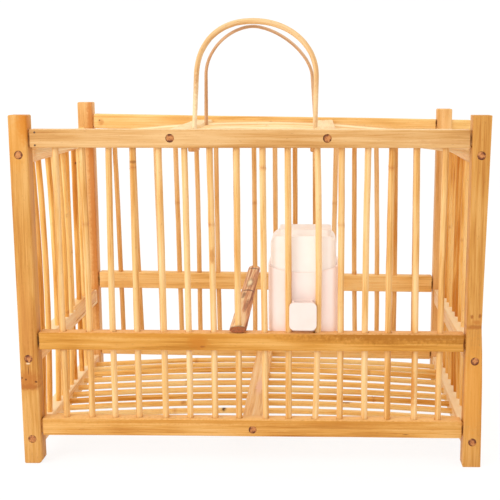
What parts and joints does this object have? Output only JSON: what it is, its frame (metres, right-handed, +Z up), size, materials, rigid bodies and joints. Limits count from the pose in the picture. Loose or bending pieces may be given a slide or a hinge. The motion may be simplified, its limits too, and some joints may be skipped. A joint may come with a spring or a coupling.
{
  "type": "canary breeding cage",
  "caption": "Small pegged bamboo cage with round bars, a bowed slatted floor and ceiling, a bent hoop carrying handle, a twig perch, a hopper feeder and a lifting side door.",
  "frame": {"origin": "on the surface that the cage stands on, under the middle of its whole outline; the rear rail's stub at the right counts in it, so the cage's body lies 9.25 mm to the left", "axes": "+X to the right along the front wall, +Y from the front wall to the rear wall, +Z up"},
  "size_m": [0.3684, 0.224, 0.3406],
  "materials": {
    "bamboo_post": "split bamboo, honey coloured, fine long grain, satin, knife marks and a dark node ring",
    "bamboo_rail": "split bamboo, golden brown, fine long grain, satin",
    "bamboo_rail_pale": "split bamboo, sandy, fine long grain, satin",
    "bamboo_board": "split bamboo, pale cream outside face, satin",
    "bamboo_bar": "shaved round bamboo sticks, honey to brown, satin",
    "bamboo_bar_pale": "shaved round bamboo sticks, pale honey, satin",
    "bamboo_peg": "bamboo peg cut flush, end grain, reddish",
    "hoop_pale": "bent bamboo strip, pale, semi gloss skin",
    "hoop_brown": "bent bamboo strip, brown, semi gloss skin",
    "keeper_wood": "small whittled bamboo block, matt",
    "perch_bark": "flattened twig with its bark on, matt",
    "feeder_plastic": "moulded translucent plastic, pale pink, smooth",
    "bottle_plastic": "thin blow moulded translucent plastic, pale pink, smooth",
    "nail_steel": "small dull wire brads"
  },
  "bodies": {
    "cage": {"post_front_left": "bamboo_post", "post_front_right": "bamboo_post", "post_rear_left": "bamboo_post", "post_rear_right": "bamboo_post", "front_top_rail": "bamboo_rail_pale", "front_mid_rail": "bamboo_rail", "front_bottom_rail": "bamboo_rail", "rear_top_rail": "bamboo_rail", "rear_mid_rail": "bamboo_rail", "rear_bottom_rail": "bamboo_rail", "left_top_rail": "bamboo_rail", "left_mid_rail": "bamboo_rail", "left_bottom_rail": "bamboo_rail", "right_top_rail": "bamboo_rail", "right_mid_rail": "bamboo_rail", "right_bottom_rail": "bamboo_rail", "cross_board_left": "bamboo_board", "cross_board_right": "bamboo_board", "floor_bearer": "bamboo_board", "front_bar_01": "bamboo_bar", "front_bar_02": "bamboo_bar", "front_bar_03": "bamboo_bar", "front_bar_04": "bamboo_bar", "front_bar_05": "bamboo_bar", "front_bar_06": "bamboo_bar", "front_bar_07": "bamboo_bar", "front_bar_08": "bamboo_bar", "front_bar_09": "bamboo_bar", "front_bar_10": "bamboo_bar", "front_bar_11": "bamboo_bar", "front_bar_12": "bamboo_bar", "front_bar_13": "bamboo_bar", "front_bar_14": "bamboo_bar", "front_bar_15": "bamboo_bar", "front_bar_16": "bamboo_bar", "rear_bars": "bamboo_bar", "left_bars": "bamboo_bar", "right_bars": "bamboo_bar", "floor_bars": "bamboo_bar_pale", "ceiling_bars": "bamboo_bar_pale", "front_left_pegs": "bamboo_peg", "front_right_pegs": "bamboo_peg", "rear_left_pegs": "bamboo_peg", "rear_right_pegs": "bamboo_peg", "board_pegs": "bamboo_peg", "bearer_pegs": "bamboo_peg", "brad_nails": "nail_steel", "handle_hoop_front": "hoop_pale", "handle_hoop_rear": "hoop_brown", "handle_keepers": "keeper_wood"},
    "perch": {"perch": "perch_bark"},
    "feeder": {"feeder_cup": "feeder_plastic"},
    "bottle": {"feeder_bottle": "bottle_plastic"},
    "side_door": {"door_batten": "bamboo_rail", "door_bars": "bamboo_bar"}
  },
  "joints": [
    {"name": "perch_slide", "type": "slide", "parent": "cage", "child": "perch", "axis": [0, 0, 1], "range_m": [0, 0.12]},
    {"name": "side_door_slide", "type": "slide", "parent": "cage", "child": "side_door", "axis": [0, 0, 1], "range_m": [0, 0.12]},
    {"name": "feeder_lift", "type": "slide", "parent": "cage", "child": "feeder", "axis": [0, 0, 1], "range_m": [0, 0.012]},
    {"name": "bottle_lift", "type": "slide", "parent": "feeder", "child": "bottle", "axis": [0, 0, 1], "range_m": [0, 0.049]}
  ]
}
